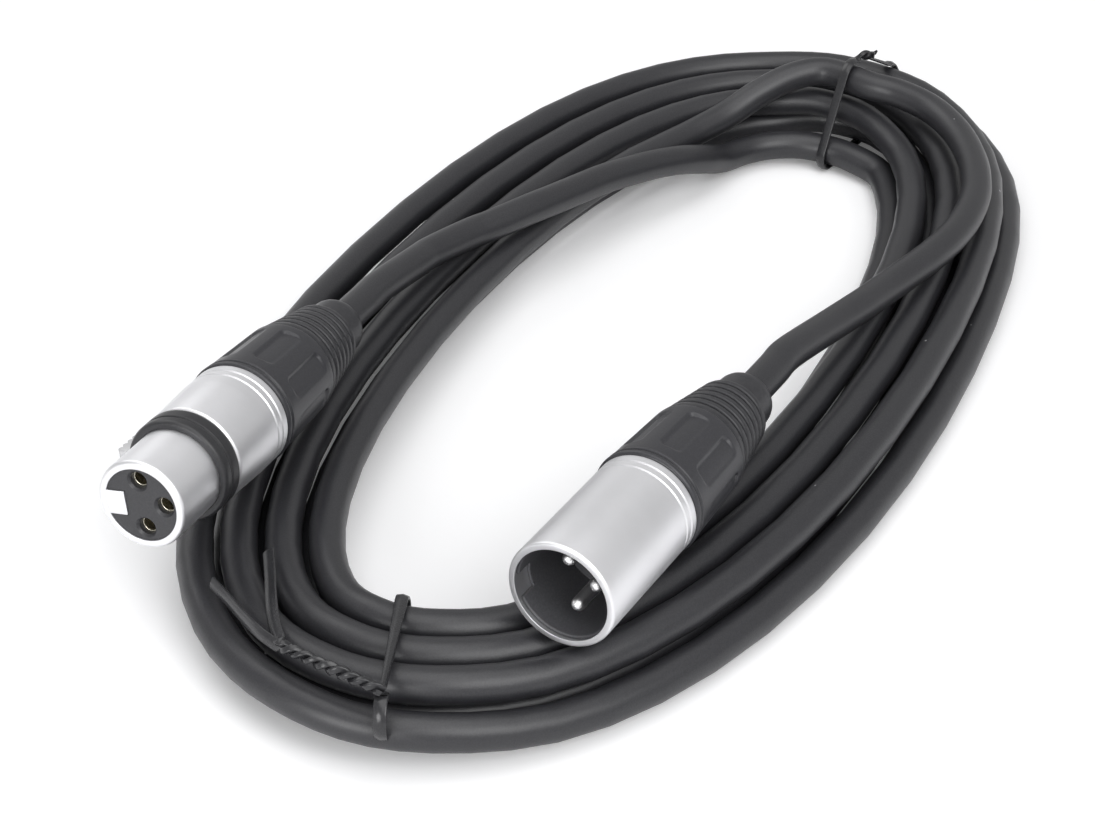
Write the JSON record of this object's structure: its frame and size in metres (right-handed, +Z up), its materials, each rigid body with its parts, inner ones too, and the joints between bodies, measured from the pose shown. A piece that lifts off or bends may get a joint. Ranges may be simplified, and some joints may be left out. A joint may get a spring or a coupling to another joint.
{
  "type": "xlr cable coil",
  "caption": "Coiled microphone cable with a male and a female three-pole connector, held by two twist ties; boots unscrew and the female latch presses in.",
  "frame": {"origin": "Centre of the box round the coil, on the surface that it lies on.", "axes": "+X along the coil's long side, +Y across it towards the female connector, +Z up."},
  "size_m": [0.26, 0.1273, 0.0362],
  "materials": {
    "jacket": "satin",
    "tie": "satin",
    "shell": "satin",
    "insert": "satin",
    "contact": "bright",
    "boot": "satin",
    "sleeve": "matte",
    "collet": "moulded",
    "seal": "satin",
    "spring": "plain",
    "socket": "silvered",
    "core": "insulation"
  },
  "bodies": {
    "root": {"cable_coil": "jacket", "male_lead": "jacket", "female_lead": "jacket", "front_tie": "tie", "rear_tie": "tie", "male_shell": "shell", "male_insert": "insert", "male_pin_1": "contact", "male_pin_2": "contact", "male_pin_3": "contact", "male_ground_spring": "spring", "male_cores": "core", "female_shell": "shell", "female_insert": "insert", "female_socket_1": "socket", "female_socket_2": "socket", "female_socket_3": "socket", "latch_spring": "spring", "female_seal_ring": "seal", "female_ground_contact": "spring", "female_cores": "core"},
    "male_chuck": {"male_chuck": "collet"},
    "male_boot": {"male_boot": "boot", "male_gland": "sleeve"},
    "female_chuck": {"female_chuck": "collet"},
    "female_boot": {"female_boot": "boot", "female_gland": "sleeve"},
    "female_latch": {"female_latch": "contact"}
  },
  "joints": [
    {"name": "male_chuck_slide", "type": "slide", "parent": "root", "child": "male_chuck", "axis": [0.9963, -0.0837, -0.0209], "range_m": [0, 0.00312]},
    {"name": "male_boot_turn", "type": "hinge", "parent": "male_chuck", "child": "male_boot", "pos_m": [-0.0728, -0.03266, 0.02281], "axis": [0.9963, -0.0837, -0.0209], "range_deg": [0, 900]},
    {"name": "female_chuck_slide", "type": "slide", "parent": "root", "child": "female_chuck", "axis": [0.9947, 0.0521, -0.0889], "range_m": [0, 0.00312]},
    {"name": "female_boot_turn", "type": "hinge", "parent": "female_chuck", "child": "female_boot", "pos_m": [-0.08137, 0.03958, 0.02513], "axis": [0.9947, 0.0521, -0.0889], "range_deg": [0, 900]},
    {"name": "latch_press", "type": "hinge", "parent": "root", "child": "female_latch", "pos_m": [-0.08994, 0.04399, 0.02519], "axis": [0.0806, 0.1436, 0.9863], "range_deg": [0, 4], "stiffness_Nm_per_rad": 0.02}
  ],
  "couplings": [
    {"joint": "male_boot_turn", "follows": "male_chuck_slide", "rad_per_m": 5026.5},
    {"joint": "female_boot_turn", "follows": "female_chuck_slide", "rad_per_m": 5026.5}
  ]
}
